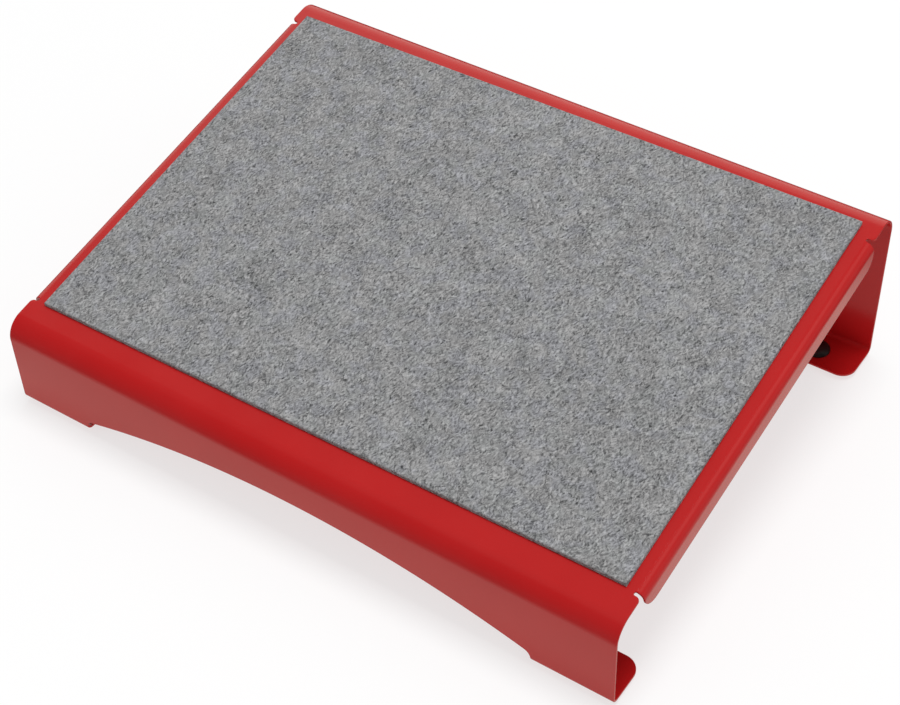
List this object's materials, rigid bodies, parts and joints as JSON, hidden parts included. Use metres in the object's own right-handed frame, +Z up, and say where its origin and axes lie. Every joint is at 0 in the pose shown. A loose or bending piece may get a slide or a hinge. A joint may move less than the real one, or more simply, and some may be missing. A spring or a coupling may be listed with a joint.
{
  "type": "footrest",
  "caption": "Low sloped footrest: folded sheet-metal deck with turned-down sides, arched ends and inward foot tabs, under a felt cover and on round rubber feet.",
  "frame": {"origin": "on the ground, under the middle of the footrest's bounding box", "axes": "+X across the footrest to its right side seen from the low front, +Y from the low front edge to the high rear edge, +Z up"},
  "size_m": [0.45, 0.335, 0.1261],
  "materials": {
    "red_powder_coat": "satin red powder coat with fine orange peel on steel sheet",
    "grey_felt": "mottled grey needle felt, matt and fibrous, with cut edges",
    "black_rubber": "smooth black moulded rubber, softly shining"
  },
  "bodies": {
    "root": {"folded_shell": "red_powder_coat", "felt_cover": "grey_felt", "rubber_foot_front_left": "black_rubber", "rubber_foot_front_right": "black_rubber", "rubber_foot_rear_left": "black_rubber", "rubber_foot_rear_right": "black_rubber"}
  },
  "joints": []
}
